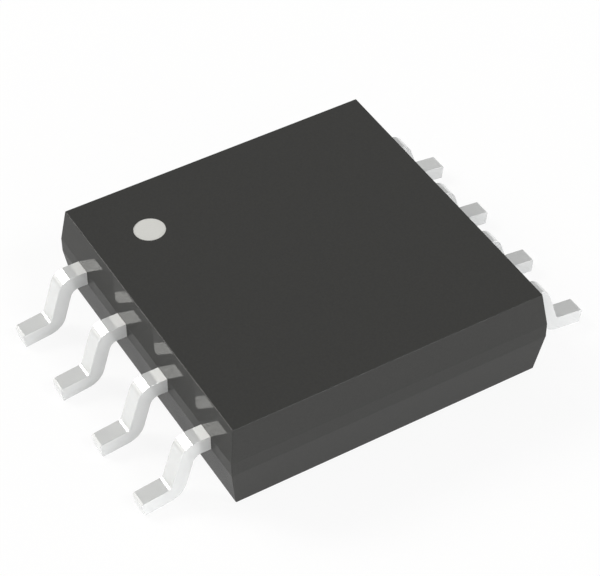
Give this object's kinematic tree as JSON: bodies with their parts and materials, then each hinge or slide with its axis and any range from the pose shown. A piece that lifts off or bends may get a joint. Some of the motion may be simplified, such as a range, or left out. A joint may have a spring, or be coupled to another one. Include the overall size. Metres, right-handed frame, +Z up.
{
  "type": "small-outline integrated circuit",
  "caption": "Small-outline chip: a square black moulded body with a row of short bent gull-wing leads along two sides and a round pale mark by the first lead.",
  "frame": {"origin": "under the middle of the body, on the plane that the toes of the leads stand on", "axes": "+X across the body towards the row of leads 5 to 8, +Y along the rows towards the end with the mark for lead 1, +Z up out of the top face"},
  "size_m": [0.0076, 0.0052, 0.0016],
  "materials": {
    "moulding_compound": "satin",
    "tin_plated_leads": "satin",
    "bare_copper_frame": "satin",
    "silver_epoxy": "satin",
    "silicon": "polished",
    "gold_wire": "polished",
    "marking_ink": "matte"
  },
  "bodies": {
    "root": {"moulded_body": "moulding_compound", "lead_1": "tin_plated_leads", "lead_2": "tin_plated_leads", "lead_3": "tin_plated_leads", "lead_4": "tin_plated_leads", "lead_5": "tin_plated_leads", "lead_6": "tin_plated_leads", "lead_7": "tin_plated_leads", "lead_8": "tin_plated_leads", "die_paddle": "bare_copper_frame", "die_attach": "silver_epoxy", "silicon_die": "silicon", "bond_wire_1": "gold_wire", "bond_wire_2": "gold_wire", "bond_wire_3": "gold_wire", "bond_wire_4": "gold_wire", "bond_wire_5": "gold_wire", "bond_wire_6": "gold_wire", "bond_wire_7": "gold_wire", "bond_wire_8": "gold_wire", "pin_1_mark": "marking_ink"}
  },
  "joints": []
}
